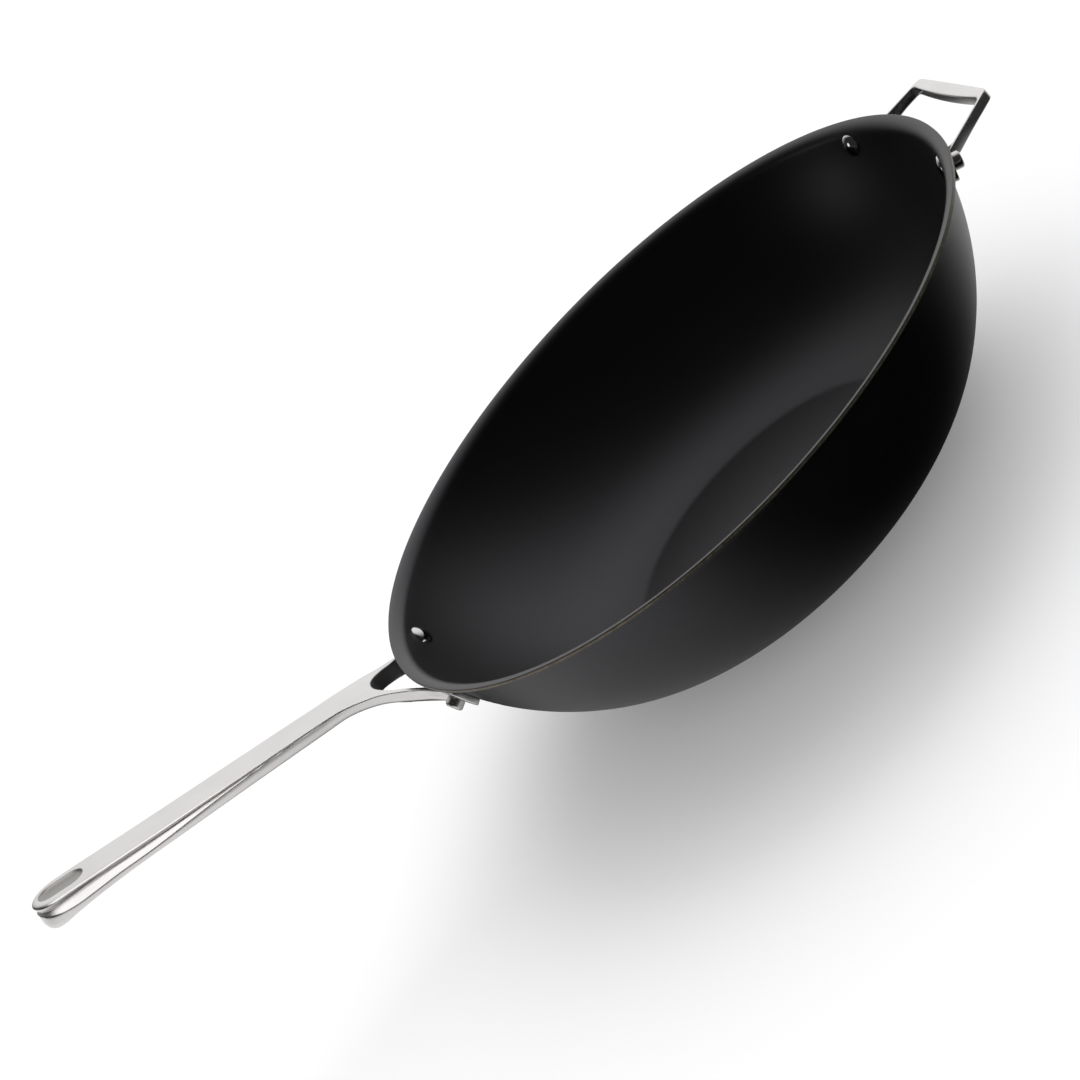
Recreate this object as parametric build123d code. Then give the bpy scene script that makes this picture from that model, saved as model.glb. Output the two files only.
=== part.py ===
"""Flat-bottomed carbon steel wok with a forked stick handle and a riveted helper handle.

Millimetres. The origin is the centre of the flat base's underside, +Z is up, the stick handle
points to -X and the helper handle to +X.
"""
from build123d import *
from math import asin, cos, radians, sin, sqrt, tan
import os

os.makedirs("parts", exist_ok=True)

# Bowl: a pressed sheet, given by the profile of its outer surface.
rim_radius = 177.8
bowl_height = 94.4
wall_thickness = 1.8
base_share = 0.4837
base_radius = rim_radius * base_share
knuckle_radius = 20.0
knuckle_angle = 13.5
waist_angle = 45.0
wall_top_angle = 76.4
lip_bend_radius = 5.2
lip_run = 1.6
lip_angle = 10.0
lip_edge_round = 0.35

# Rivets: domed head inside the bowl, short round tail outside.
shank_diameter = 6.0
hole_clearance = 0.1
head_diameter = 11.8
head_height = 2.3
head_edge = 0.6
tail_diameter = 8.4
tail_height = 4.8
tail_round = 1.2
head_seat_gap = 0.15
tail_seat_gap = 0.05
main_rivet_spread = 85.0
main_rivet_drop = 14.6
helper_rivet_spread = 107.4
helper_rivet_drop = 10.3

# Feet: plates that follow the wall under the lip and take the rivets.
foot_gap = 0.1
foot_thickness = 3.0
foot_corner = 4.0
main_foot_above = 8.4
main_foot_below = 8.6
main_foot_inward = 14.0
main_foot_outward = 8.6
helper_foot_above = 4.4
helper_foot_below = 10.6
helper_foot_inward = 13.0
helper_foot_outward = 9.0

# Stick handle: lengths run outwards from the rim, heights from the top line's start above the rim.
handle_rise = 15.0
handle_start_height = 1.9
handle_length = 200.0
handle_end_width = 24.4
handle_neck_width = 21.0
neck_place = 42.0
tip_depth = 12.5
fork_drop = 7.1
fork_thickness = 9.8
neck_thickness = 7.0
end_thickness = 13.4
crotch_place = 15.7
arm_spread = 50.0
top_round = 0.9
bottom_round = 2.6
fork_round = 0.9

# Groove along both sides and round the tip, and the oval recess near the tip.
groove_start = 52.0
groove_depth = 1.5
groove_start_height = 0.5
groove_end_height = 2.4
groove_start_below = 1.1
groove_end_below = 3.4
recess_length = 23.6
recess_width = 13.4
recess_depth = 1.4
recess_margin = 5.2
recess_round = 0.5

# Helper handle, in its own frame.
helper_rise = 9.5
helper_seat_drop = 10.1
helper_reach = 26.8
helper_grip_width = 7.1
helper_grip_narrow = 5.6
helper_grip_length = 74.0
helper_root_width = 90.6
helper_arm_width = 3.0
helper_grip_thickness = 6.0
helper_arm_thickness = 5.0
helper_overrun = 14.0
helper_outer_corner = 3.2
helper_inner_corner = 3.4
helper_edge_round = 0.8

# One overrun serves all cuts.
overrun = 30.0


def slope(angle):
    """Direction that rises at this angle, in the profile plane."""
    return Vector(cos(radians(angle)), sin(radians(angle)))


def outward(angle):
    """Outward normal of the wall where it leans at this angle."""
    return Vector(sin(radians(angle)), -cos(radians(angle)))


def wall_radii():
    """Radii of the lower and upper wall arcs that join the knuckle to the lip."""
    lip = outward(wall_top_angle) - outward(lip_angle)
    lip_edge = Vector(rim_radius, bowl_height - wall_thickness * cos(radians(lip_angle)))
    root = lip_edge - slope(lip_angle) * lip_run - lip * lip_bend_radius
    knuckle = outward(knuckle_angle) - outward(0)
    foot = Vector(base_radius, 0) + knuckle * knuckle_radius
    low = outward(waist_angle) - outward(knuckle_angle)
    high = outward(wall_top_angle) - outward(waist_angle)
    span = root - foot
    det = low.X * high.Y - low.Y * high.X
    return (span.X * high.Y - span.Y * high.X) / det, (low.X * span.Y - low.Y * span.X) / det


lower_radius, upper_radius = wall_radii()


def profile_arc(start, radius, angle_from, angle_to, bend=1):
    """Arc of the profile from a point, turning between two leans; bend -1 turns outwards."""
    turn = (outward(angle_to) - outward(angle_from)) * radius * bend
    half = (angle_from + angle_to) / 2
    middle = start + (outward(half) - outward(angle_from)) * radius * bend
    return ThreePointArc(start, middle, start + turn)


def profile(inset, stop_at_wall=False):
    """Open profile at a distance inside the outer surface, from the axis to the lip's edge."""
    base = Line((0, inset), (base_radius, inset))
    knuckle = profile_arc(base @ 1, knuckle_radius - inset, 0, knuckle_angle)
    lower = profile_arc(knuckle @ 1, lower_radius - inset, knuckle_angle, waist_angle)
    upper = profile_arc(lower @ 1, upper_radius - inset, waist_angle, wall_top_angle)
    if stop_at_wall:
        return [base, knuckle, lower, upper]
    bend = profile_arc(upper @ 1, lip_bend_radius + inset, wall_top_angle, lip_angle, -1)
    run = Line(bend @ 1, (bend @ 1) + slope(lip_angle) * lip_run)
    return [base, knuckle, lower, upper, bend, run]


def revolved(edges):
    """Solid of revolution about +Z of a closed outline in the profile plane."""
    return revolve(Plane.XZ * make_face(edges), Axis.Z)


def wall_place(drop):
    """Radius, height and lean of the outer surface at a height below the rim."""
    upper = profile(0)[3]
    centre = (upper @ 1) - outward(wall_top_angle) * upper_radius
    height = bowl_height - drop
    rise = (centre.Y - height) / upper_radius
    out = sqrt(1 - rise * rise)
    return centre.X + out * upper_radius, height, out, rise


def rivet_planes(drop, spread, side):
    """Frames at the two rivet places, on the outer surface, X tangential and Z outwards."""
    radius, height, out, fall = wall_place(drop)
    planes = []
    angle = asin(spread / 2 / radius)
    for around in (angle, -angle):
        radial = Vector(side * cos(around), sin(around), 0)
        tangent = Vector(-side * sin(around), cos(around), 0) * (1 if around > 0 else -1)
        normal = radial * out + Vector(0, 0, -fall)
        planes.append(Plane(radial * radius + Vector(0, 0, height), tangent, normal))
    return planes


main_planes = rivet_planes(main_rivet_drop, main_rivet_spread, -1)
helper_planes = rivet_planes(helper_rivet_drop, helper_rivet_spread, 1)


def bores():
    """The four rivet holes, through wall and feet."""
    hole = Cylinder(shank_diameter / 2 + hole_clearance, 2 * overrun)
    return [plane * hole for plane in main_planes + helper_planes]


def make_bowl():
    """Pressed bowl: the sheet between the outer and inner profiles, with rounded lip edges."""
    outer = profile(0)
    inner = profile(wall_thickness)
    axis_edge = Line(inner[0] @ 0, outer[0] @ 0)
    lip_edge = Line(outer[-1] @ 1, inner[-1] @ 1)
    bowl = revolved(outer + inner + [axis_edge, lip_edge])
    rings = bowl.edges().filter_by(lambda edge: edge.is_closed)
    edges = rings.sort_by(lambda edge: edge.radius)[-2:]
    bowl = fillet(edges, lip_edge_round)
    return bowl - bores()


def keep_out(gap):
    """The bowl's outer envelope grown by a gap, filled in."""
    edges = profile(-gap)
    top = edges[-1] @ 1
    roof = Line(top, (top.X, bowl_height + overrun))
    lid = Line(roof @ 1, (0, bowl_height + overrun))
    return revolved(edges + [roof, lid, Line(lid @ 1, edges[0] @ 0)])


def foot_shell():
    """The layer that lies on the wall, as thick as a foot."""
    near = profile(-foot_gap, True)[3]
    far = profile(-foot_gap - foot_thickness, True)[3]
    return revolved([near, far, Line(near @ 0, far @ 0), Line(near @ 1, far @ 1)])


def feet(planes, above, below, inward, outward_reach):
    """Foot plates at a pair of rivets, rounded at their corners."""
    shell = foot_shell()
    plates = []
    for plane in planes:
        up = 1 if plane.y_dir.Z > 0 else -1
        outline = Rectangle(inward + outward_reach, above + below)
        outline = fillet(outline.vertices(), foot_corner)
        shift = Pos((outward_reach - inward) / 2, up * (above - below) / 2)
        plates.append(shell & (plane * extrude(shift * outline, overrun, both=True)))
    return plates


def main_frame():
    """Frame of the stick handle: X outwards from the rim, Z up from the top line's start."""
    return Plane((-rim_radius, 0, bowl_height + handle_start_height), (-1, 0, 0), (0, 0, 1))


def helper_frame():
    """Frame of the helper handle: X outwards, Z square to its top face."""
    rise = radians(helper_rise)
    origin = (rim_radius, 0, bowl_height - helper_seat_drop)
    return Plane(origin, (cos(rise), 0, sin(rise)), (-sin(rise), 0, cos(rise)))


def mirrored_face(half):
    """Closed face from half an outline that starts and ends on the X axis."""
    return make_face(half + [edge.mirror(Plane.XZ) for edge in half])


# Shares of the neck's place and of half the arms' spread, from the neck to the wall.
fork_outer_shares = [
    (0.767, 0.444), (0.53, 0.532), (0.362, 0.62), (0.243, 0.716), (0.1, 0.88),
    (0.005, 1.008), (-0.062, 1.144), (-0.15, 1.34), (-0.3, 1.6),
]
fork_inner_shares = [(0.333, 0.3), (0.219, 0.56), (0.052, 0.792), (-0.138, 1.08), (-0.36, 1.44)]


def fork_points(shares):
    """Points of the fork's outline from shares of the neck's place and of half the spread."""
    return [Vector(neck_place * along, arm_spread / 2 * across) for along, across in shares]


def main_plan():
    """Outline of the stick handle seen from above."""
    neck = Vector(neck_place, handle_neck_width / 2)
    shoulder = Vector(handle_length - tip_depth, handle_end_width / 2)
    outer = [neck] + fork_points(fork_outer_shares)
    inner = [Vector(crotch_place, 0)] + fork_points(fork_inner_shares)
    return mirrored_face([
        Spline(inner, tangents=[(0, 1), inner[-1] - inner[-2]]),
        Line(inner[-1], outer[-1]),
        Spline(outer[::-1], tangents=[outer[-2] - outer[-1], shoulder - neck]),
        Line(neck, shoulder),
        EllipticalCenterArc((shoulder.X, 0), tip_depth, shoulder.Y, arc_size=90),
    ])


# Shares of the neck's place and of the fork's drop below the straight top line.
top_bend_shares = [
    (0.767, 0.017), (0.53, 0.173), (0.362, 0.345), (0.243, 0.549), (0.1, 0.803), (0.005, 1.0),
    (-0.4, 1.9),
]
# Shares of the neck's place and of the fork's thickness, down from the bent top line.
under_fork_shares = {0.53: 0.73, 0.362: 0.81, 0.243: 0.91, 0.1: 0.98, 0.005: 1.0, -0.4: 1.1}


def top_height(place):
    """Height of the straight top line at a place along the handle."""
    return place * tan(radians(handle_rise))


def main_side():
    """Outline of the stick handle seen from the side."""
    top_start = Vector(neck_place, top_height(neck_place))
    past = handle_length + overrun
    bend = [top_start]
    under = []
    for along, fall in top_bend_shares:
        place = neck_place * along
        bend.append(Vector(place, top_height(place) - fork_drop * fall))
        if along in under_fork_shares:
            under.append(bend[-1] - Vector(0, fork_thickness * under_fork_shares[along]))
    neck_under = top_start - Vector(0, neck_thickness)
    end_under = Vector(handle_length, top_height(handle_length) - end_thickness)
    end_slope = (end_under - neck_under) / (handle_length - neck_place)
    past_under = neck_under + end_slope * (past - neck_place)
    top_slope = slope(handle_rise) * -1
    edges = [
        Line((past, top_height(past)), top_start),
        Spline(bend, tangents=[top_slope, bend[-1] - bend[-2]]),
        Line(bend[-1], under[-1]),
        Spline(under[::-1] + [neck_under], tangents=[under[-2] - under[-1], end_slope]),
        Line(neck_under, past_under),
        Line(past_under, (past, top_height(past))),
    ]
    return Plane.XZ * make_face(edges)


def main_groove():
    """Ring cut that parts the end of the handle into an upper and a lower lobe."""
    past = handle_length + overrun
    start = Vector(groove_start, top_height(groove_start) - groove_start_below)
    end = Vector(handle_length, top_height(handle_length) - groove_end_below)
    tip = Vector(past, top_height(past) - groove_end_below)
    start_half = Vector(0, groove_start_height / 2)
    end_half = Vector(0, groove_end_height / 2)
    strip = make_face(Polyline(
        start + start_half, end + end_half, tip + end_half,
        tip - end_half, end - end_half, start - start_half, close=True))
    near = Vector(neck_place, handle_neck_width / 2 - groove_depth)
    shoulder = Vector(handle_length - tip_depth, handle_end_width / 2 - groove_depth)
    core = mirrored_face([
        Line((neck_place, 0), near),
        Line(near, shoulder),
        EllipticalCenterArc((shoulder.X, 0), tip_depth - groove_depth, shoulder.Y, arc_size=90),
    ])
    ring = extrude(Plane.XZ * strip, overrun, both=True)
    return ring - extrude(core, handle_length, both=True)


def main_recess():
    """Blind oval recess in the top face near the tip."""
    centre = handle_length - recess_margin - recess_length / 2
    rise = radians(handle_rise)
    top_face = Plane((centre, 0, top_height(centre)), (cos(rise), 0, sin(rise)),
                     (-sin(rise), 0, cos(rise)))
    oval = SlotOverall(recess_length, recess_width)
    tool = Pos(0, 0, -recess_depth) * extrude(oval, recess_depth + overrun)
    floor = tool.faces().sort_by(Axis.Z)[0]
    return top_face * fillet(floor.edges(), recess_round)


def long_edges(body, place):
    """The lower and upper long edge of the face nearest to a place."""
    face = body.faces().sort_by_distance(place)[0]
    return face.edges().sort_by(SortBy.LENGTH)[-2:].sort_by(Axis.Z)


def make_main_handle():
    """Forked stick handle with its two feet."""
    plan = main_plan()
    tall = handle_length
    body = extrude(plan, tall, both=True) & extrude(main_side(), tall, both=True)
    middle = (neck_place + handle_length) / 2
    side = (middle, handle_end_width, top_height(middle) - neck_thickness / 2)
    crotch = (crotch_place, 0, top_height(crotch_place) - fork_thickness)
    body = fillet(long_edges(body, side)[1], top_round)
    body = fillet(long_edges(body, crotch)[1], fork_round)
    body = fillet(long_edges(body, side)[0], bottom_round)
    body = fillet(long_edges(body, crotch)[0], fork_round)
    body -= main_groove()
    body -= main_recess()
    body = main_frame() * body
    body -= keep_out(foot_gap)
    plates = feet(main_planes, main_foot_above, main_foot_below, main_foot_inward, main_foot_outward)
    for plate in plates:
        body += plate
    return body - bores()


def helper_plan():
    """Outline of the helper handle's loop seen square to its top face."""
    half_grip = helper_grip_length / 2
    half_root = helper_root_width / 2
    inner_place = helper_reach - helper_grip_width
    root = Vector(-helper_overrun, half_root + (half_root - half_grip) / 2)
    corner = Vector(helper_reach, half_grip)
    arm = (corner - root).normalized()
    side = Vector(arm.Y, -arm.X) * helper_arm_width
    shift = (helper_reach - helper_grip_narrow - root.X) / arm.X
    inner_corner = root + side + arm * shift
    outer = FilletPolyline((helper_reach, 0), corner, root, radius=helper_outer_corner)
    return outer, root, root + side, inner_corner, Vector(inner_place, 0)


def make_helper_handle():
    """Helper handle: a flat loop with two arms and two feet."""
    outer, root, inner_root, inner_corner, inner_middle = helper_plan()
    bow = ThreePointArc(inner_corner, inner_middle, (inner_corner.X, -inner_corner.Y))
    inner_low = Vector(inner_root.X, -inner_root.Y)
    hole = make_face([
        bow, Line(inner_corner, inner_root), Line(inner_root, inner_low),
        Line(inner_low, (inner_corner.X, -inner_corner.Y)),
    ])
    corners = hole.vertices().sort_by(Axis.X)[-2:]
    hole = fillet(corners, helper_inner_corner)
    edges = outer.edges()
    loop = make_face(edges + [edge.mirror(Plane.XZ) for edge in edges]
                     + [Line(root, (root.X, -root.Y))])
    loop -= hole
    side = make_face(Polyline(
        (root.X, 0), (helper_reach, 0), (helper_reach, -helper_grip_thickness),
        (root.X, -helper_arm_thickness), close=True))
    tall = helper_root_width
    body = extrude(loop, tall, both=True) & extrude(Plane.XZ * side, tall, both=True)
    for place in (helper_reach, inner_middle.X):
        for level in range(2):
            middle = (place, 0, -helper_grip_thickness / 2)
            body = fillet(long_edges(body, middle)[level], helper_edge_round)
    body = helper_frame() * body
    body -= keep_out(foot_gap)
    plates = feet(helper_planes, helper_foot_above, helper_foot_below,
                  helper_foot_inward, helper_foot_outward)
    for plate in plates:
        body += plate
    return body - bores()


def rivet_body():
    """One rivet on a frame whose origin is the wall's outer surface, Z outwards."""
    shank = shank_diameter / 2
    head = head_diameter / 2
    under_head = -wall_thickness - head_seat_gap
    under_tail = foot_gap + foot_thickness + tail_seat_gap
    tail_top = under_tail + tail_height
    tail = tail_diameter / 2
    outline = [
        Line((0, under_head - head_height), (0, tail_top)),
        Line((0, tail_top), (tail, tail_top)),
        Line((tail, tail_top), (tail, under_tail)),
        Line((tail, under_tail), (shank, under_tail)),
        Line((shank, under_tail), (shank, under_head)),
        Line((shank, under_head), (head, under_head)),
        Line((head, under_head), (head, under_head - head_edge)),
        RadiusArc((head, under_head - head_edge), (0, under_head - head_height),
                  dome_radius(head, head_height - head_edge)),
    ]
    rivet = revolve(Plane.XZ * make_face(outline), Axis.Z)
    rim = rivet.edges().filter_by(GeomType.CIRCLE).sort_by(Axis.Z)[-1]
    return fillet(rim, tail_round)


def dome_radius(half_width, height):
    """Radius of the sphere cap with this half width and height."""
    return (half_width * half_width + height * height) / (2 * height)


def make_rivets(planes):
    """A pair of identical rivets as separate solids."""
    rivet = rivet_body()
    return Compound([plane * rivet for plane in planes])


parts = {
    "bowl": make_bowl(),
    "main_handle": make_main_handle(),
    "helper_handle": make_helper_handle(),
    "main_handle_rivets": make_rivets(main_planes),
    "helper_handle_rivets": make_rivets(helper_planes),
}
for name, shape in parts.items():
    export_step(shape, f"parts/{name}.step")
    print(name, round(shape.volume), [round(v, 2) for v in shape.bounding_box().size])
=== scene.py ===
import math

import bmesh
import bpy
import numpy as np
from mathutils import Matrix, Vector


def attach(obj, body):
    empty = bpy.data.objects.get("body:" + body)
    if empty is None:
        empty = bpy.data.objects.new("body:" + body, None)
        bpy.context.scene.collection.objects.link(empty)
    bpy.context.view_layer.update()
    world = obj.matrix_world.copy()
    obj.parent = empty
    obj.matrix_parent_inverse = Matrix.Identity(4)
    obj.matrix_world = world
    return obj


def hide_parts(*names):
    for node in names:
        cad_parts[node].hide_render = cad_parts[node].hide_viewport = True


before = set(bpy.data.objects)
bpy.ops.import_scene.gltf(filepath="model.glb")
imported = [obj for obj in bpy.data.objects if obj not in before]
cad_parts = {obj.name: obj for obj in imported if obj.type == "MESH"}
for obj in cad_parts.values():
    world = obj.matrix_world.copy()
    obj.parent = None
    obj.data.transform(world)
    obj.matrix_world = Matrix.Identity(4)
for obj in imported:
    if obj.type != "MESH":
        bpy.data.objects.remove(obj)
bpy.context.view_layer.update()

# Metres in a millimetre, and in metres how near points are welded and slivers dissolved.
MM, WELD, SLIVER = 0.001, 2e-6, 1e-7

# Bowl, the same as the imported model's: sizes in millimetres, and how far the wall leans in degrees.
RIM, HEIGHT, WALL = 177.8, 94.4, 1.8
BASE, KNUCKLE = 86.0, 20.0
KNUCKLE_END, WAIST, WALL_TOP = 13.5, 45.0, 76.4
LIP_BEND, LIP_RUN, LIP_ANGLE, LIP_ROUND = 5.2, 1.6, 10.0, 0.35
LIP_STEPS, BOWL_STEPS = 4, 288

# Rivet pairs: drop below the rim in millimetres, and degrees to each side of the handle's middle.
MAIN_DROP, MAIN_TURN = 14.6, 14.5
HELPER_DROP, HELPER_TURN = 10.3, 18.3

# Feet: gap to the wall, thickness, corner and edge rounding, and (shrink, distance) at the lower edge.
FOOT_GAP, FOOT_THICK, FOOT_CORNER, FOOT_EDGE = 0.1, 3.0, 4.0, 0.55
FOOT_LOW_EDGE = ((0.25, FOOT_GAP), (0.06, 0.2), (0, 0.4))


def curve(points, ends=None):
    """Smooth function through points (place, value), by cubic pieces with even slopes."""
    p = np.array(sorted(points), float)
    x, y = p[:, 0], p[:, 1]
    width = np.diff(x)
    step = np.diff(y) / width
    slope = np.empty(len(x))
    slope[1:-1] = (step[:-1] * width[1:] + step[1:] * width[:-1]) / (width[1:] + width[:-1])
    slope[0], slope[-1] = ends or (step[0], step[-1])

    def value(v):
        if v < x[0]:
            return y[0] + slope[0] * (v - x[0])
        if v > x[-1]:
            return y[-1] + slope[-1] * (v - x[-1])
        i = int(np.clip(np.searchsorted(x, v) - 1, 0, len(x) - 2))
        h = x[i + 1] - x[i]
        t = (v - x[i]) / h
        return ((1 + 2 * t) * (1 - t) ** 2 * y[i] + t * (1 - t) ** 2 * h * slope[i]
                + t * t * (3 - 2 * t) * y[i + 1] + t * t * (t - 1) * h * slope[i + 1])
    return value


def path(points, count, first=None):
    """Evenly spread points along a smooth line, which may start in a given direction."""
    p = np.array(points, float)
    run = np.concatenate([[0], np.cumsum(np.linalg.norm(np.diff(p, axis=0), axis=1))])
    parts = []
    for k in range(2):
        ends = (first[k], (p[-1, k] - p[-2, k]) / (run[-1] - run[-2])) if first else None
        parts.append(curve(list(zip(run, p[:, k])), ends))
    samples = 600
    dense = np.array([[f(v) for f in parts] for v in np.linspace(0, run[-1], samples)])
    along = np.concatenate([[0], np.cumsum(np.linalg.norm(np.diff(dense, axis=0), axis=1))])
    want = np.linspace(0, along[-1], count)
    return np.stack([np.interp(want, along, dense[:, k]) for k in range(2)], 1)


def smoothstep(v, a, b):
    t = min(1.0, max(0.0, (v - a) / (b - a)))
    return t * t * (3 - 2 * t)


def quarter(steps, first=0, last=90.0):
    """Sine and cosine at even steps from 0 degrees to the last angle, from the first step on."""
    angles = [math.radians(last * k / steps) for k in range(first, steps + 1)]
    return [(math.sin(a), math.cos(a)) for a in angles]


def full_turn(steps):
    angles = [2 * math.pi * k / steps for k in range(steps)]
    return [(math.cos(a), math.sin(a)) for a in angles]


def between(a, b, steps):
    """Points in even steps from a to b, both included."""
    a, b = np.array(a, float), np.array(b, float)
    return [tuple(a + (b - a) * k / steps) for k in range(steps + 1)]


def inward_normals(points, flip=False):
    """Unit normals of a line that starts square to the handle's middle plane."""
    p = np.array(points, float)
    tangent = np.gradient(p, axis=0)
    tangent[0] = (0, 1)
    tangent /= np.linalg.norm(tangent, axis=1)[:, None]
    normals = np.stack([-tangent[:, 1], tangent[:, 0]], 1)
    return -normals if flip else normals


class Shell:
    """Collects points in millimetres and faces of one mesh."""

    def __init__(self):
        self.verts, self.faces = [], []

    def grid(self, rows, closed=False, material=0):
        """Quads between rows of points, all rows of one length."""
        first = len(self.verts)
        wide = len(rows[0])
        for row in rows:
            self.verts += [tuple(p) for p in row]
        for i in range(len(rows) - 1):
            for j in range(wide if closed else wide - 1):
                a, b = first + i * wide + j, first + i * wide + (j + 1) % wide
                self.faces.append(((a, b, b + wide, a + wide), material))

    def cap(self, ring):
        """One face over a closed ring of points."""
        first = len(self.verts)
        self.verts += [tuple(p) for p in ring]
        self.faces.append((tuple(range(first, first + len(ring))), 0))

    def mirror(self):
        """Adds the mirror image in the plane through both handles."""
        count = len(self.verts)
        self.verts += [(x, -y, z) for x, y, z in self.verts]
        self.faces += [(tuple(count + i for i in f[::-1]), m) for f, m in self.faces]


def build(name, shell, materials, sharp, body="root"):
    """Object from a shell, with edges sharp from this angle in degrees."""
    mesh = bpy.data.meshes.new(name)
    mesh.from_pydata([tuple(c * MM for c in v) for v in shell.verts], [], [f[0] for f in shell.faces])
    for material in materials:
        mesh.materials.append(material)
    mesh.polygons.foreach_set("material_index", [f[1] for f in shell.faces])
    bm = bmesh.new()
    bm.from_mesh(mesh)
    bmesh.ops.remove_doubles(bm, verts=bm.verts, dist=WELD)
    bmesh.ops.dissolve_degenerate(bm, edges=bm.edges, dist=SLIVER)
    bmesh.ops.recalc_face_normals(bm, faces=bm.faces)
    bm.to_mesh(mesh)
    bm.free()
    mesh.shade_smooth()
    mesh.set_sharp_from_angle(angle=math.radians(sharp))
    piece = bpy.data.objects.new(name, mesh)
    bpy.context.scene.collection.objects.link(piece)
    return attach(piece, body)


# Bowl profile.

def out(angle):
    """Outward normal of the wall where it leans at this angle, as (radial, up)."""
    return np.array([math.sin(math.radians(angle)), -math.cos(math.radians(angle))])


def lean(angle):
    """Direction up the wall where it leans at this angle."""
    return np.array([math.cos(math.radians(angle)), math.sin(math.radians(angle))])


def wall_end():
    """Top of the wall's outside, where the lip's bend begins."""
    lip = out(WALL_TOP) - out(LIP_ANGLE)
    edge = np.array([RIM, HEIGHT - WALL * math.cos(math.radians(LIP_ANGLE))])
    return edge - lean(LIP_ANGLE) * LIP_RUN - lip * LIP_BEND


def wall_radii():
    """Radii of the wall's lower and upper arc, which join the knuckle to the lip's bend."""
    foot = np.array([BASE, 0]) + (out(KNUCKLE_END) - out(0)) * KNUCKLE
    low, high = out(WAIST) - out(KNUCKLE_END), out(WALL_TOP) - out(WAIST)
    return np.linalg.solve(np.array([low, high]).T, wall_end() - foot)


LOWER, UPPER = wall_radii()
UPPER_CENTRE = wall_end() - out(WALL_TOP) * UPPER


def profile(inset):
    """Points (radius, height) from the axis to the lip's edge, at a distance inside the outside."""
    points = [np.array([r, inset]) for r in (0, 12, 30, 50, 66, 78, BASE)]

    def arc(radius, a, b, steps, bend=1):
        start = points[-1]
        for k in range(1, steps + 1):
            angle = a + (b - a) * k / steps
            points.append(start + (out(angle) - out(a)) * radius * bend)
    arc(KNUCKLE - inset, 0, KNUCKLE_END, steps=5)
    arc(LOWER - inset, KNUCKLE_END, WAIST, steps=16)
    arc(UPPER - inset, WAIST, WALL_TOP, steps=20)
    arc(LIP_BEND + inset, WALL_TOP, LIP_ANGLE, steps=10, bend=-1)
    points.append(points[-1] + lean(LIP_ANGLE) * (LIP_RUN - LIP_ROUND))
    return points


def make_bowl(materials):
    """The profile turned round the axis, with the lip's cut edge in the second material."""
    outer, inner = profile(0), profile(WALL)
    along, up = lean(LIP_ANGLE) * LIP_ROUND, -out(LIP_ANGLE) * LIP_ROUND
    edge = [outer[-1] + along * s + up * (1 - c) for s, c in quarter(LIP_STEPS, first=1)]
    edge += [inner[-1] + along * c - up * (1 - s) for s, c in quarter(LIP_STEPS)[:-1]]
    turns = full_turn(BOWL_STEPS)
    rows = [[(p[0] * c, p[0] * s, p[1]) for c, s in turns] for p in outer + edge + inner[::-1]]
    cut = len(outer) + LIP_STEPS
    shell = Shell()
    shell.grid(rows[:cut], closed=True)
    shell.grid(rows[cut - 1:cut + 1], closed=True, material=1)
    shell.grid(rows[cut:], closed=True)
    return build("wok_bowl", shell, materials, sharp=50)


# Rivets and feet, on frames that lie on the wall.

def wall_frames(drop, angle, side):
    """Origin, tangent away from the handle's middle, up along the wall and normal, for both rivets."""
    fall = (UPPER_CENTRE[1] - (HEIGHT - drop)) / UPPER
    level = math.sqrt(1 - fall * fall)
    frames = []
    for turn in (1, -1):
        a = math.radians(angle) * turn
        radial = np.array([side * math.cos(a), math.sin(a), 0])
        tangent = np.array([-side * math.sin(a), math.cos(a), 0]) * turn
        normal = radial * level + np.array([0, 0, -fall])
        up = np.cross(normal, tangent)
        if up[2] < 0:
            up = -up
        origin = radial * (UPPER_CENTRE[0] + level * UPPER) + np.array([0, 0, HEIGHT - drop])
        frames.append((origin, tangent, up, normal))
    return frames


def on_wall(place, away):
    """The place, moved square to the wall until it is at a distance off the wall's outside."""
    level = math.hypot(place[0], place[1])
    d = np.array([level, place[2]]) - UPPER_CENTRE
    p = UPPER_CENTRE + d / np.linalg.norm(d) * (UPPER + away)
    return np.array([place[0] / level * p[0], place[1] / level * p[0], p[1]])


def rivet_outline():
    """Pairs (radius, distance off the wall) from the head's middle to the tail's, and the head's count."""
    head, shank, tail = 5.9, 3.0, 4.2
    under_head, dome, band = -WALL - 0.12, 1.85, 0.45
    head_round, band_round, head_bevel = 0.35, 0.3, 0.1
    under_tail, tail_height, tail_bevel, tail_round = 3.15, 4.7, 0.2, 1.3
    radius = (head * head + dome * dome) / (2 * dome)
    centre = under_head - band - dome + radius
    chain = []
    for k in range(11):
        r = (head - head_round) * k / 10
        chain.append((r, centre - math.sqrt(radius * radius - r * r)))
    chain += [(head - head_round + head_round * s, under_head - band + 0.02 + band_round * (1 - c))
              for s, c in quarter(3, first=1)]
    chain += [(head, under_head - head_bevel), (head - head_bevel, under_head)]
    head_count = len(chain)
    chain += [(shank, under_head), (shank, under_tail)]
    chain += [(tail - tail_bevel, under_tail), (tail, under_tail + tail_bevel)]
    top = under_tail + tail_height
    chain += [(tail - tail_round + tail_round * c, top - 0.05 - tail_round + tail_round * s)
              for s, c in quarter(6, last=80)]
    chain += [(1.9, top), (1.0, top + 0.02), (0, top + 0.03)]
    return chain, head_count


def make_rivets(name, frames, materials):
    """Both rivets of a handle, the heads in the first material and the rest in the second."""
    chain, head_count = rivet_outline()
    turns = full_turn(64)
    shell = Shell()
    for origin, tangent, up, normal in frames:
        rows = [[origin + tangent * r * c + up * r * s + normal * h for c, s in turns] for r, h in chain]
        shell.grid(rows[:head_count], closed=True)
        shell.grid(rows[head_count - 1:], closed=True, material=1)
    return build(name, shell, materials, sharp=35)


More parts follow.
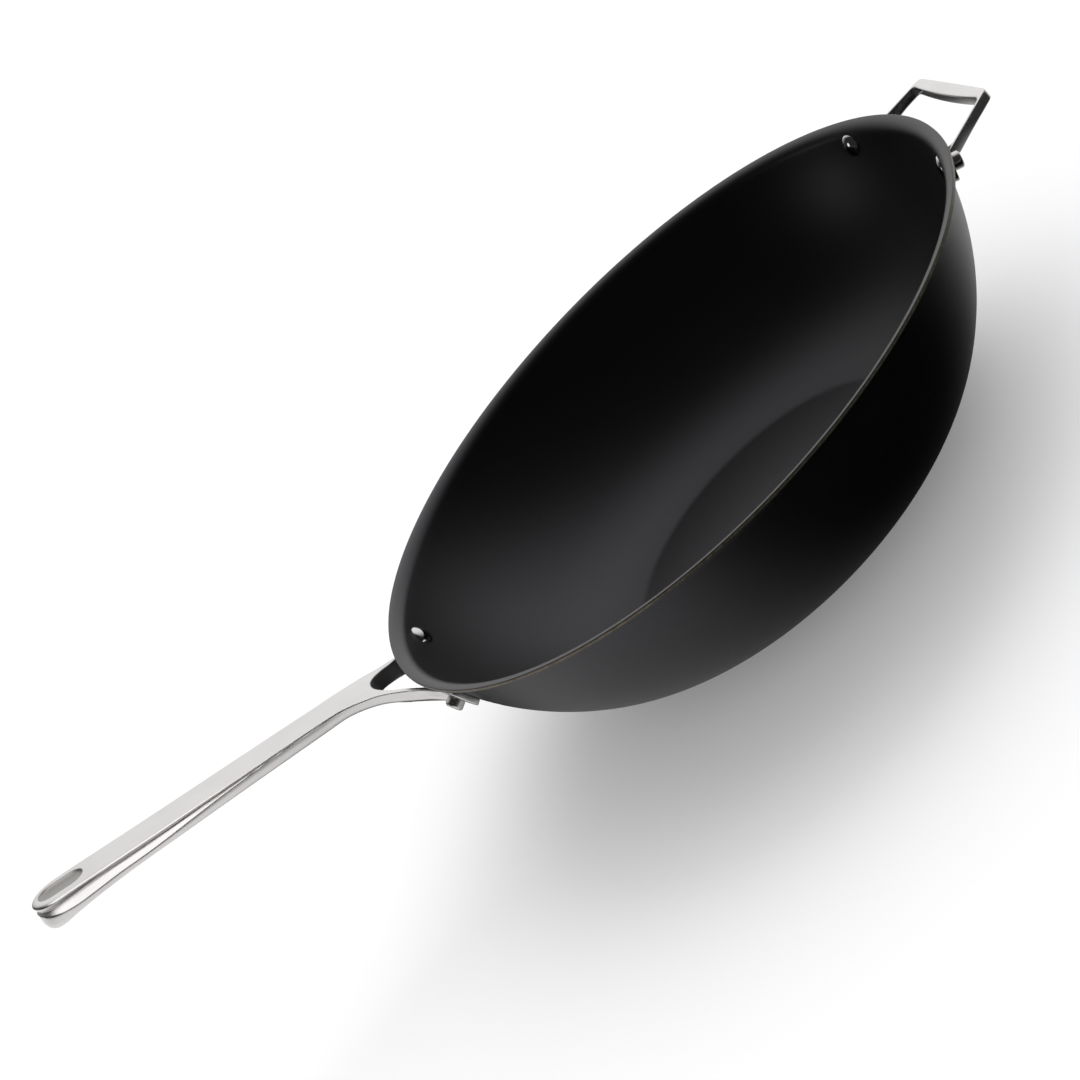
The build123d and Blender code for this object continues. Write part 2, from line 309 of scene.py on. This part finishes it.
def rounded_rectangle(low_x, high_x, low_y, high_y, radius):
    """Ring of points round a rectangle with round corners, about every 2 mm along its sides."""
    steps, spacing = 8, 2.0
    ring = []
    for cx, cy, start in ((high_x - radius, high_y - radius, 0), (low_x + radius, high_y - radius, 90),
                          (low_x + radius, low_y + radius, 180), (high_x - radius, low_y + radius, 270)):
        for k in range(steps + 1):
            a = math.radians(start + 90 * k / steps)
            ring.append((cx + radius * math.cos(a), cy + radius * math.sin(a)))
    dense = []
    for a, b in zip(ring, ring[1:] + ring[:1]):
        count = max(1, int(math.hypot(b[0] - a[0], b[1] - a[1]) / spacing))
        dense += between(a, b, count)[:-1]
    return dense


def add_foot(shell, frame_at, inward, outward, below, above):
    """Plate on the wall round one rivet, with rounded edges."""
    origin, tangent, up, _ = frame_at
    middle_x, middle_y = (outward - inward) / 2, (above - below) / 2
    top = FOOT_THICK + FOOT_GAP

    def ring(shrink, away, share=1.0):
        """Outline moved inwards, then scaled to a share of its size, at a distance off the wall."""
        points = rounded_rectangle(-inward + shrink, outward - shrink, -below + shrink, above - shrink,
                                   FOOT_CORNER - shrink)
        return [on_wall(origin + tangent * (middle_x + (x - middle_x) * share)
                        + up * (middle_y + (y - middle_y) * share), away) for x, y in points]
    shares = (0.0, 0.3, 0.6, 0.85)
    rows = [ring(FOOT_EDGE, FOOT_GAP, share) for share in shares]
    rows += [ring(shrink, away) for shrink, away in FOOT_LOW_EDGE]
    rows += [ring(FOOT_EDGE * (1 - c), top - FOOT_EDGE + FOOT_EDGE * s) for s, c in quarter(4)]
    rows += [ring(FOOT_EDGE, top, share) for share in shares[::-1]]
    shell.grid(rows, closed=True)


# Stick handle: place u outwards from the rim, half width y, and drop under the top line.

TOP_START, RISE = HEIGHT + 1.9, math.tan(math.radians(15.0))
LENGTH, TIP, END_HALF = 200.0, 12.5, 12.2
NECK, NECK_HALF = 42.0, 10.5
# The end is set back at its top, and by less the lower a point lies.
TIP_BACK, TIP_SLANT = 2.9, 0.268
# The recess: middle, half its straight run, and half its width.
RECESS_MIDDLE, RECESS_RUN, RECESS_HALF = 184.0, 5.1, 6.7
# Where the outer line passes the root of the fork's gap, and the rounding of the gap's edges.
FORK_ROOT, ARM_ROUND = 18.5, 0.8
# Stretches of u over which a form grows or fades.
GROOVE_STARTS, GROOVE_GROWS = (-6, 12), (50, 150)
ROUND_GROWS, ROUND_FADES = (2, 24), (183, 197)
CROWN_GROWS, END_LEANS = (176, 196), (90, 180)
# How far the top line falls at the fork.
FALL = curve([(42, 0), (32.2, 0.12), (22.26, 1.23), (15.2, 2.45), (10.2, 3.9), (4.2, 5.7),
              (0.21, 7.1), (-16.8, 13.5)], ends=(-0.37, 0))
# Thickness at the outer sides, and at the inner sides of the fork's arms.
THICK = curve([(200, 15.7), (190, 13.8), (180, 12.0), (170, 10.8), (160, 10.1), (150, 9.6),
               (122, 8.8), (60, 7.4), (42, 7.0), (32, 6.6), (22.26, 6.7), (15.2, 7.3),
               (10.2, 7.9), (4.2, 8.3), (0.21, 8.4), (-16.8, 8.6)])
THICK_INSIDE = curve([(42, 7.0), (22, 7.4), (15.7, 8.6), (10.2, 9.3), (4.2, 9.7), (0.21, 9.9),
                      (-16.8, 10.8)])
# Half outlines (u, y) of the fork.
FORK_OUTER = [(42, 10.5), (32.2, 11.1), (22.26, 13.3), (15.2, 15.5), (10.2, 17.9), (4.2, 22.0),
              (0.21, 25.2), (-2.6, 28.6), (-6.3, 33.5), (-12.6, 40.0)]
FORK_INNER = [(15.7, 0), (14.0, 7.5), (9.2, 14.0), (2.2, 19.8), (-5.8, 27.0), (-15.1, 36.0)]
# Drop of the groove's bottom, and how far the lower lobe stands out of the top's edge.
GROOVE_DROP = curve([(42, 0.75), (60, 0.9), (100, 1.6), (150, 2.65), (160, 2.7), (170, 3.05),
                     (180, 3.8), (190, 4.5), (200, 4.8)], ends=(0, 0))
SIDE_OUT = curve([(-17, 0.0), (42, 0.0), (80, 0.5), (150, 2.3), (186, 2.2), (195, 0.7),
                  (200, -0.25)], ends=(0, 0))
# (inset, drop) of the top's rounded edge at full size, and of the recess's wall.
CROWN = [(2.75, 0.0), (2.0, 0.05), (1.36, 0.16), (0.86, 0.33), (0.45, 0.59), (0.18, 0.91),
         (0.04, 1.27)]
RECESS_WALL = [(-0.3, 0.0), (-0.1, 0.03), (0.08, 0.14), (0.3, 0.42), (0.65, 0.82), (1.15, 1.12),
               (1.8, 1.3), (2.5, 1.38)]


def stick_point(u, y, drop):
    """Point of the stick handle. Its end is square to its own axis, so the low side reaches further."""
    u = u + smoothstep(u, *END_LEANS) * min(0.0, TIP_SLANT * drop - TIP_BACK)
    top = u * RISE - (FALL(u) if u < NECK else 0.0)
    return (-RIM - u, y, TOP_START + top - drop)


def side_chain(u):
    """(inset, drop) pairs from the top face's edge over groove and ledge to the bottom face's edge."""
    thick = THICK(u)
    full = smoothstep(u, *GROOVE_GROWS)
    faded = smoothstep(u, *ROUND_FADES)
    groove, proud = GROOVE_DROP(max(u, NECK)), SIDE_OUT(u)
    deep = (0.5 + 0.7 * full) * (0.45 + 0.55 * smoothstep(u, *GROOVE_STARTS))
    crown = 0.2 + 0.8 * full + 0.35 * smoothstep(u, *CROWN_GROWS)
    under = CROWN[-1][1] * crown
    upper = [(inset * crown, drop * crown) for inset, drop in CROWN]
    upper += [(0.35 * deep, under + 0.3 * (groove - under)),
              (0.7 * deep, under + 0.65 * (groove - under)), (deep, groove)]
    ledge = deep + 0.85 * proud
    fall = (0.3 + 0.55 * full) * ledge
    end = groove + fall
    low_round = 0.9 + 1.7 * smoothstep(u, *ROUND_GROWS) - 0.9 * faded
    low_in = low_round + 0.6 * full - 0.6 * faded
    lower = between((deep, groove), (deep - ledge, end), 5)
    lower += [(-0.97 * proud, end + 0.15 + 0.3 * full), (-proud, end + 0.35 + 0.7 * full),
              (-proud, (end + 1.0 + thick - low_round) / 2),
              (-proud + 0.12 * low_in, thick - 0.75 * low_round),
              (-proud + 0.5 * low_in, thick - 0.22 * low_round), (low_in - proud, thick)]
    return np.concatenate([path(upper, 24), path(lower, 36)[1:]])


def recess_outline():
    """Half of the recess's edge, from its outer end to its inner end."""
    ends = quarter(12)
    outer_end, inner_end = RECESS_MIDDLE + RECESS_RUN, RECESS_MIDDLE - RECESS_RUN
    line = [(outer_end + RECESS_HALF * c, RECESS_HALF * s) for s, c in ends]
    line += between((outer_end, RECESS_HALF), (inner_end, RECESS_HALF), 6)[1:-1]
    return line + [(inner_end - RECESS_HALF * s, RECESS_HALF * c) for s, c in ends]


def stations():
    """Stations from the tip to the arms' ends: kind, inner point and normal, outer point and normal."""
    shoulder = LENGTH - TIP
    slope = (END_HALF - NECK_HALF) / (shoulder - NECK)
    recess_from = 66

    def tip_at(angle):
        a = math.radians(angle)
        return (shoulder + TIP * math.sin(a), END_HALF * math.cos(a))

    def straight_at(u):
        return (u, NECK_HALF + slope * (u - NECK))
    # Tip, then the stretch beside the recess, then the straight run to the neck.
    recess = recess_outline()
    low = recess[-1][0] + 0.4
    outer = [tip_at(a) for a in np.linspace(90, recess_from, 5)[:-1]]
    inner = [("centre", None)] * len(outer)
    beside = [tip_at(a) for a in np.linspace(recess_from, 0, 12)]
    beside += [straight_at(u) for u in np.linspace(shoulder, low, len(recess) - len(beside) + 1)[1:]]
    outer += beside
    inner += [("recess", point) for point in recess]
    outer += [straight_at(u) for u in np.linspace(low, NECK, 46)[1:]]
    # Fork: still joined in the middle down to its root, then an arm with a side of its own.
    fork = path(FORK_OUTER, 61, (-1, slope))
    arm_inner = path(FORK_INNER, 45, (0, 1))
    joined = [tuple(p) for p in fork if p[0] > FORK_ROOT][1:]
    free = fork[len(joined) + 1:]
    outer += joined
    inner += [("centre", None)] * (len(outer) - len(inner))
    want, marks = np.linspace(0, 1, len(arm_inner)), np.linspace(0, 1, len(free))
    outer += list(zip(*(np.interp(want, marks, free[:, k]) for k in range(2))))
    inner += [("arm", tuple(p)) for p in arm_inner]
    own_normals = {
        "arm": iter(inward_normals([p for kind, p in inner if kind == "arm"], flip=True)),
        "recess": iter(inward_normals([p for kind, p in inner if kind == "recess"])),
    }
    rows = []
    for (kind, point), o, n in zip(inner, outer, inward_normals(outer)):
        rows.append((kind, point, next(own_normals[kind]) if point else None, o, n))
    return rows


def arm_wall(thick):
    """(inset, drop) pairs down the inner side of an arm, with round edges."""
    r = ARM_ROUND
    wall = [(r * (1 - s), r * (1 - c)) for s, c in quarter(4)]
    wall += [(0, r + (thick - 2 * r) * k / 4) for k in range(1, 4)]
    return wall + [(r * (1 - c), thick - r + r * s) for s, c in quarter(4)]


def make_stick(materials, frames):
    """One half from tip to foot, mirrored, with the recess in the second material."""
    tops, sides, bottoms, inners, pits, floors = [], [], [], [], [], []
    for kind, point, normal, o, n in stations():
        chain = side_chain(o[0])
        thick, last = THICK(o[0]), chain[-1][1]
        line = []
        for inset, drop in chain:
            u, y = o[0] + n[0] * inset, max(0.0, o[1] + n[1] * inset)
            line.append((u, y, drop + (THICK(u) - thick) * smoothstep(drop, 0.5 * last, last)))
        top, low = line[0], line[-1]
        start, end = (top[0], 0.0, 0.0), (low[0], 0.0, low[2])
        if point:
            wall = RECESS_WALL if kind == "recess" else arm_wall(THICK_INSIDE(point[0]))
            wall = [(point[0] + normal[0] * d, max(0.0, point[1] + normal[1] * d), t) for d, t in wall]
            start = wall[0]
            own_side = [stick_point(*p) for p in wall]
            if kind == "recess":
                pits.append(own_side)
                deep = wall[-1]
                floors.append([stick_point(*p) for p in between(deep, (deep[0], 0.0, deep[2]), 4)])
            else:
                inners.append(own_side)
                end = wall[-1]
        sides.append([stick_point(*p) for p in line])
        tops.append([stick_point(*p) for p in between(start, top, 6)])
        bottoms.append([stick_point(*p) for p in between(low, end, 6)])
    shell = Shell()
    for rows in (tops, sides, bottoms, inners):
        shell.grid(rows)
    for rows in (pits, floors):
        shell.grid(rows, material=1)
    shell.cap(tops[-1][:-1] + sides[-1][:-1] + bottoms[-1][:-1] + inners[-1][::-1][:-1])
    add_foot(shell, frames[0], inward=14.0, outward=8.6, below=8.6, above=8.4)
    shell.mirror()
    return build("stick_handle", shell, materials, sharp=38)


# Helper handle in its own inclined frame: place x outwards, half width y, and drop under its top.

HELPER_RISE = math.radians(6.3)
HELPER_ORIGIN = np.array([RIM - 0.2, 0, HEIGHT - 8.6])
REACH, GRIP_WIDTH, ARM_WIDTH = 26.8, 5.6, 2.4
CORNER, ROOT = np.array([REACH, 36.6]), np.array([-12.5, 48.2])
OUTER_ROUND, INNER_ROUND, LOW_ROUND = 4.2, 3.2, 0.8
FOOT_FACE, FOOT_FILLET = -5.5, 3.6
# The grip's inner side: its place in the middle, and how far it is bowed out at the corners.
GRIP_INNER, GRIP_BOW = 19.7, 1.5
# Stretches over which the grip ends (in y) and the arm grows thicker and leans (in -x).
GRIP_ENDS, ARM_THICKENS, ARM_LEANS = (22, 36), (-18, 4), (-20, 0)


def helper_point(x, y, drop):
    along = np.array([math.cos(HELPER_RISE), 0, math.sin(HELPER_RISE)])
    up = np.array([-math.sin(HELPER_RISE), 0, math.cos(HELPER_RISE)])
    return tuple(HELPER_ORIGIN + along * x + np.array([0, y, 0]) - up * drop)


def rounded_line(points, radius):
    """A line of three points with the middle corner rounded."""
    steps = 10
    a, b, c = (np.array(p, float) for p in points)
    d1, d2 = (a - b) / np.linalg.norm(a - b), (c - b) / np.linalg.norm(c - b)
    half = math.acos(np.clip(d1 @ d2, -1, 1)) / 2
    reach = radius / math.tan(half)
    middle = b + (d1 + d2) / np.linalg.norm(d1 + d2) * radius / math.sin(half)
    s, e = b + d1 * reach - middle, b + d2 * reach - middle
    line = [a]
    for k in range(steps + 1):
        v = s * (1 - k / steps) + e * (k / steps)
        line.append(middle + v / np.linalg.norm(v) * radius)
    return line + [c]


def helper_lines():
    """Outer and inner line of half the loop, from the grip's middle to the foot."""
    arm = (CORNER - ROOT) / np.linalg.norm(CORNER - ROOT)
    inside = np.array([arm[1], -arm[0]])
    inner_root = ROOT + inside * ARM_WIDTH
    shift = (REACH - GRIP_WIDTH - ROOT[0]) / arm[0]
    inner_corner = inner_root + arm * (shift - inside[0] * ARM_WIDTH / arm[0])

    def bow(y):
        """The grip's inner side, which is bowed outwards at its ends."""
        return np.array([GRIP_INNER + GRIP_BOW * (y / inner_corner[1]) ** 2, y])

    def widening(x):
        """How far the arm's inner side widens into its foot."""
        near = max(0.0, min(FOOT_FILLET, x - FOOT_FACE))
        return FOOT_FILLET - math.sqrt(FOOT_FILLET ** 2 - (FOOT_FILLET - near) ** 2)
    outer = rounded_line([(REACH, 0), CORNER, ROOT], OUTER_ROUND)
    inner = rounded_line([bow(inner_corner[1] * 0.9), inner_corner, inner_root], INNER_ROUND)
    grip_outer = [np.array([REACH, y]) for y in np.linspace(0, outer[1][1], 13)[:-1]]
    grip_inner = [bow(y) for y in np.linspace(0, inner[1][1], 13)[:-1]]
    marks = [1 - (1 - k / 30) ** 1.4 for k in range(1, 31)]
    arm_outer = [outer[-2] + (outer[-1] - outer[-2]) * m for m in marks]
    arm_inner = [inner[-2] + (inner[-1] - inner[-2]) * m for m in marks]
    arm_inner = [p + inside * widening(p[0]) for p in arm_inner]
    return grip_outer + outer[1:-1] + arm_outer, grip_inner + inner[1:-1] + arm_inner


def make_helper(materials, frames):
    """One half from the grip's middle to the foot, mirrored."""
    outer_line, inner_line = helper_lines()
    tops, sides, bottoms, inners = [], [], [], []
    for o, i, b, a in zip(outer_line, inner_line, inward_normals(outer_line),
                          inward_normals(inner_line, flip=True)):
        grip = 1 - smoothstep(o[1], *GRIP_ENDS)
        thick = 5.5 + 1.3 * grip + 0.8 * smoothstep(-o[0], *ARM_THICKENS)
        top_round = 1.15 - 0.25 * grip
        lean_in = (1 - grip) * (0.5 + 1.2 * smoothstep(-o[0], *ARM_LEANS))
        chain = [(top_round * (1 - s), top_round * (1 - c)) for s, c in quarter(6)]
        chain.append((0, thick / 2))
        chain += [(LOW_ROUND * (1 - c), thick - LOW_ROUND + LOW_ROUND * s) for s, c in quarter(5)]
        side, inner = [], []
        for d, drop in chain:
            shift = lean_in * drop / thick
            side.append(helper_point(o[0] + b[0] * (d + shift), o[1] + b[1] * (d + shift), drop))
            inner.append(helper_point(i[0] + a[0] * (d - shift), max(0, i[1] + a[1] * (d - shift)), drop))
        sides.append(side)
        inners.append(inner)
        tops.append(between(inner[0], side[0], 4))
        bottoms.append(between(inner[-1], side[-1], 4))
    shell = Shell()
    for rows in (tops, sides, bottoms, inners):
        shell.grid(rows)
    shell.cap(tops[-1][:-1] + sides[-1][:-1] + bottoms[-1][::-1][:-1] + inners[-1][::-1][:-1])
    add_foot(shell, frames[0], inward=13.0, outward=9.0, below=6.8, above=4.4)
    shell.mirror()
    return build("helper_handle_loop", shell, materials, sharp=38)


# Nodes that materials, floor and world share.

def set_value(tree, socket, value):
    """Sets a socket to a number or a colour, or links it to another node's output."""
    if isinstance(value, bpy.types.NodeSocket):
        tree.links.new(value, socket)
    else:
        socket.default_value = value


def math_node(tree, operation, *values):
    node = tree.nodes.new("ShaderNodeMath")
    node.operation = operation
    for socket, value in zip(node.inputs, values):
        set_value(tree, socket, value)
    return node.outputs[0]


def vector_node(tree, operation, first, second, output):
    node = tree.nodes.new("ShaderNodeVectorMath")
    node.operation = operation
    set_value(tree, node.inputs[0], first)
    set_value(tree, node.inputs["Scale" if operation == "SCALE" else 1], second)
    return node.outputs[output]


def ramp(tree, source, low, high, a, b, kind="LINEAR"):
    """Values a to b over a range of the source."""
    node = tree.nodes.new("ShaderNodeMapRange")
    node.interpolation_type = kind
    for key, value in zip(("From Min", "From Max", "To Min", "To Max"), (low, high, a, b)):
        node.inputs[key].default_value = value
    tree.links.new(source, node.inputs["Value"])
    return node.outputs["Result"]


def mix_colors(tree, source, a, b):
    node = tree.nodes.new("ShaderNodeMix")
    node.data_type = "RGBA"
    node.inputs["A"].default_value = (*a, 1)
    node.inputs["B"].default_value = (*b, 1)
    tree.links.new(source, node.inputs["Factor"])
    return node.outputs["Result"]


def mix_numbers(tree, source, a, b):
    node = tree.nodes.new("ShaderNodeMix")
    node.data_type = "FLOAT"
    for key, value in (("Factor", source), ("A", a), ("B", b)):
        set_value(tree, node.inputs[key], value)
    return node.outputs["Result"]


def noise_over(tree, scale, stretch=(1, 1, 1), detail=4.0, rough=0.6):
    """Noise over the object's own coordinates."""
    coords = tree.nodes.new("ShaderNodeTexCoord")
    mapping = tree.nodes.new("ShaderNodeMapping")
    mapping.inputs["Scale"].default_value = stretch
    noise = tree.nodes.new("ShaderNodeTexNoise")
    noise.inputs["Scale"].default_value = scale
    noise.inputs["Detail"].default_value = detail
    noise.inputs["Roughness"].default_value = rough
    tree.links.new(coords.outputs["Object"], mapping.inputs["Vector"])
    tree.links.new(mapping.outputs["Vector"], noise.inputs["Vector"])
    return noise.outputs["Fac"]


def bump(tree, source, strength, distance):
    node = tree.nodes.new("ShaderNodeBump")
    node.inputs["Strength"].default_value = strength
    node.inputs["Distance"].default_value = distance
    tree.links.new(source, node.inputs["Height"])
    return node.outputs["Normal"]


# Materials.

def material(name, color, roughness, metallic=0.0, specular=0.5):
    m = bpy.data.materials.new(name)
    m.use_nodes = True
    b = m.node_tree.nodes["Principled BSDF"]
    b.inputs["Base Color"].default_value = (*color, 1)
    b.inputs["Roughness"].default_value = roughness
    b.inputs["Metallic"].default_value = metallic
    b.inputs["Specular IOR Level"].default_value = specular
    m.diffuse_color = (*color, 1)
    return m, m.node_tree, b


def bowl_material():
    m, t, b = material("dark_carbon_steel", (0.0022, 0.002, 0.0026), 0.42, 0.0, 0.6)
    b.inputs["Specular Tint"].default_value = (0.95, 0.93, 1.0, 1)
    cloud = noise_over(t, 14.0, detail=3.0)
    grain = noise_over(t, 1500.0, detail=2.0, rough=0.7)
    color = mix_colors(t, ramp(t, cloud, 0.3, 0.7, 0, 1), (0.0018, 0.0016, 0.0022), (0.0028, 0.0026, 0.0034))
    t.links.new(color, b.inputs["Base Color"])
    t.links.new(ramp(t, grain, 0.3, 0.7, 0.38, 0.46), b.inputs["Roughness"])
    t.links.new(bump(t, grain, 0.12, 0.0001), b.inputs["Normal"])
    return m


def edge_material():
    m, t, b = material("bare_cut_edge", (0.13, 0.11, 0.08), 0.42, 0.8)
    streak = noise_over(t, 400.0, detail=3.0)
    color = mix_colors(t, ramp(t, streak, 0.3, 0.7, 0, 1), (0.09, 0.077, 0.055), (0.17, 0.148, 0.11))
    t.links.new(color, b.inputs["Base Color"])
    t.links.new(bump(t, streak, 0.1, 0.0001), b.inputs["Normal"])
    return m


def handle_material(name, smooth, rough):
    """Satin cast steel, with its roughness between two values."""
    m, t, b = material(name, (0.62, 0.605, 0.595), 0.3, 1.0)
    grain = noise_over(t, 260.0, (0.06, 1, 1), 4.0, 0.65)
    cloud = noise_over(t, 30.0, detail=2.0)
    color = mix_colors(t, ramp(t, cloud, 0.3, 0.7, 0, 1), (0.60, 0.585, 0.58), (0.65, 0.635, 0.625))
    t.links.new(color, b.inputs["Base Color"])
    t.links.new(ramp(t, grain, 0.25, 0.75, smooth, rough), b.inputs["Roughness"])
    t.links.new(bump(t, grain, 0.05, 0.0002), b.inputs["Normal"])
    return m


def recess_material():
    m, t, b = material("blasted_and_shaded_stainless", (0.5, 0.485, 0.47), 0.5, 1.0)
    grain = noise_over(t, 1400.0, detail=3.0)
    t.links.new(ramp(t, grain, 0.3, 0.7, 0.42, 0.56), b.inputs["Roughness"])
    t.links.new(bump(t, grain, 0.35, 0.0002), b.inputs["Normal"])
    # Sandblasted speckle. Its tone is darker than the handle's steel, partly as painted shade in the recess.
    t.links.new(mix_colors(t, grain, (0.27, 0.26, 0.25), (0.44, 0.425, 0.41)), b.inputs["Base Color"])
    return m


def rivet_material(name, smooth, rough):
    m, t, b = material(name, (0.62, 0.61, 0.6), smooth, 1.0)
    grain = noise_over(t, 500.0, detail=3.0)
    t.links.new(ramp(t, grain, 0.3, 0.7, smooth, rough), b.inputs["Roughness"])
    t.links.new(bump(t, grain, 0.05, 0.0001), b.inputs["Normal"])
    t.links.new(mix_colors(t, grain, (0.54, 0.53, 0.515), (0.62, 0.61, 0.595)), b.inputs["Base Color"])
    return m


# The pieces.

steel, cut, blasted_and_shaded = bowl_material(), edge_material(), recess_material()
polished = rivet_material("polished_stainless", 0.07, 0.12)
turned = rivet_material("turned_stainless", 0.2, 0.28)
rivet_steels = [polished, turned]
brushed = handle_material("brushed_stainless", 0.26, 0.34)
satin = handle_material("satin_stainless", 0.18, 0.26)
main_frames = wall_frames(MAIN_DROP, MAIN_TURN, -1)
helper_frames = wall_frames(HELPER_DROP, HELPER_TURN, 1)
pieces = [
    (make_bowl([steel, cut]), "bowl", "bowl_steel"),
    (make_stick([brushed, blasted_and_shaded], main_frames), "main_handle", "handle_steel"),
    (make_helper([satin], helper_frames), "helper_handle", "handle_steel"),
    (make_rivets("stick_handle_rivets", main_frames, rivet_steels), "main_handle_rivets", "rivet_steel"),
    (make_rivets("helper_rivets", helper_frames, rivet_steels), "helper_handle_rivets", "rivet_steel"),
]
for piece, node, slot in pieces:
    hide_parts(node)

# Camera in metres, fitted to the photograph: the picture's right and up, and the camera's place.

CAMERA_PLACE = (-0.0758, -1.0009, 0.4792)
right = Vector((0.6777, -0.2624, -0.6869)).normalized()
back = right.cross(Vector((0.7353, 0.2562, 0.6275))).normalized()
columns = (right, back.cross(right), back, Vector(CAMERA_PLACE))
camera_data = bpy.data.cameras.new("camera")
camera_data.sensor_width = 36.0
camera_data.lens = 75.197
camera_data.clip_end = 50.0
camera = bpy.data.objects.new("camera", camera_data)
bpy.context.scene.collection.objects.link(camera)
camera.matrix_world = Matrix([[column[k] for column in columns] for k in range(3)] + [(0, 0, 0, 1)])
bpy.context.scene.camera = camera

# Floor. It glows a little for the camera and in reflections, and these patches are painted shade: they look
# darker in reflections only, so the metal mirrors dark there.

FLOOR_HALF, FLOOR_LOW, FLOOR_TONE, FLOOR_GLOW, SHADE_PATCH_SHARE = 6, 0.0002, 0.8, 0.2, 0.04
SHADE_PATCHES = [(0.9, -1.75, 1.77, 1.88), (0.10, -0.20, 0.08, 0.24), (-0.21, 0.13, 0.07, 0.20),
           (0.14, 0.25, 0.06, 0.17)]


def pale_floor():
    """Pale floor material, with patches of painted shade seen only in reflections. A patch has a middle (x,
    y), a dark radius and the radius where it ends.
    """
    m, t, b = material("pale_floor", (FLOOR_TONE,) * 3, 0.9, 0.0, 0.0)
    b.inputs["Emission Color"].default_value = (1, 1, 1, 1)
    rays = t.nodes.new("ShaderNodeLightPath").outputs
    place = t.nodes.new("ShaderNodeTexCoord").outputs["Object"]
    seen = math_node(t, "MAXIMUM", rays["Is Camera Ray"], rays["Is Glossy Ray"])
    seen = math_node(t, "MAXIMUM", seen, rays["Is Transmission Ray"])
    pale = None
    for x, y, dark, end in SHADE_PATCHES:
        away = vector_node(t, "DISTANCE", place, (x, y, 0), "Value")
        patch = ramp(t, away, dark, end, SHADE_PATCH_SHARE, 1.0, "SMOOTHSTEP")
        pale = patch if pale is None else math_node(t, "MULTIPLY", pale, patch)
    # Painted shade: glossy rays see the floor darkened in the patches, other rays see it evenly pale.
    share = mix_numbers(t, rays["Is Glossy Ray"], 1.0, pale)
    t.links.new(vector_node(t, "SCALE", (FLOOR_TONE,) * 3, share, "Vector"), b.inputs["Base Color"])
    lift = math_node(t, "MULTIPLY", seen, FLOOR_GLOW)
    t.links.new(math_node(t, "MULTIPLY", lift, share), b.inputs["Emission Strength"])
    return m


floor_mesh = bpy.data.meshes.new("floor")
floor_mesh.from_pydata([(x * FLOOR_HALF, y * FLOOR_HALF, 0) for x, y in ((-1, -1), (1, -1), (1, 1), (-1, 1))],
                       [], [(0, 1, 2, 3)])
floor_mesh.materials.append(pale_floor())
floor = bpy.data.objects.new("floor", floor_mesh)
floor.location.z = -FLOOR_LOW
bpy.context.scene.collection.objects.link(floor)

# World. The camera sees white. The wok is lit by a dark room with a broad bright side and mirrors it,
# and glossy rays also see a small bright spot and a hundredth of the white.

ROOM_SIDE, ROOM_LEVELS = (0.40, 0.75, 0.53), (0.35, 0.95, 0.02, 1.15)
SPOT_SIDE, SPOT_LEVELS = (-0.919, 0.334, 0.208), (0.988, 0.997, 0.0, 1.5)
DIFFUSE_FILL, GLOSSY_WHITE, WHITE = 0.5, 0.01, 1.0


def light_world(tree):
    """Strength of the world by direction and kind of ray. Levels are cosines, then strengths."""
    way = tree.nodes.new("ShaderNodeTexCoord").outputs["Generated"]
    rays = tree.nodes.new("ShaderNodeLightPath").outputs
    room, spot = (ramp(tree, vector_node(tree, "DOT_PRODUCT", way, side, "Value"), *levels, "SMOOTHSTEP")
                  for side, levels in ((ROOM_SIDE, ROOM_LEVELS), (SPOT_SIDE, SPOT_LEVELS)))
    mirrored = math_node(tree, "MULTIPLY_ADD", spot, rays["Is Glossy Ray"], room)
    lit = math_node(tree, "MULTIPLY_ADD", rays["Is Diffuse Ray"], DIFFUSE_FILL, mirrored)
    straight = math_node(tree, "MAXIMUM", rays["Is Camera Ray"], rays["Is Transmission Ray"])
    white = math_node(tree, "MULTIPLY_ADD", rays["Is Glossy Ray"], GLOSSY_WHITE, straight)
    background = tree.nodes["Background"]
    background.inputs["Color"].default_value = (1, 1, 1, 1)
    tree.links.new(mix_numbers(tree, white, lit, WHITE), background.inputs["Strength"])


world = bpy.data.worlds.new("studio")
world.use_nodes = True
light_world(world.node_tree)
bpy.context.scene.world = world

# Lamps.

def add_lamp(name, kind, energy, side):
    """A lamp that shines from this side."""
    data = bpy.data.lights.new(name, kind)
    data.energy = energy
    lamp = bpy.data.objects.new(name, data)
    lamp.rotation_euler = Vector(side).to_track_quat("Z", "Y").to_euler()
    bpy.context.scene.collection.objects.link(lamp)
    return lamp, data


key, key_data = add_lamp("key", "SUN", 1.2, (0.394, 0.682, 0.616))
key_data.angle = math.radians(50)
key.visible_glossy = False

# The bright panel that the photographed handle mirrors and its bowl does not, so it lights the handle alone.
strip, strip_data = add_lamp("strip", "AREA", 1.8, (0.05, -0.26, 0.44))
strip_data.shape = "RECTANGLE"
strip_data.size, strip_data.size_y = 0.5, 0.7
strip.location = (-0.3, -0.26, 0.58)
strip.visible_camera = False
lit = bpy.data.collections.new("lit_by_strip")
lit.objects.link(bpy.data.objects["stick_handle"])
strip.light_linking.receiver_collection = lit

bpy.context.scene.view_settings.view_transform = "Standard"
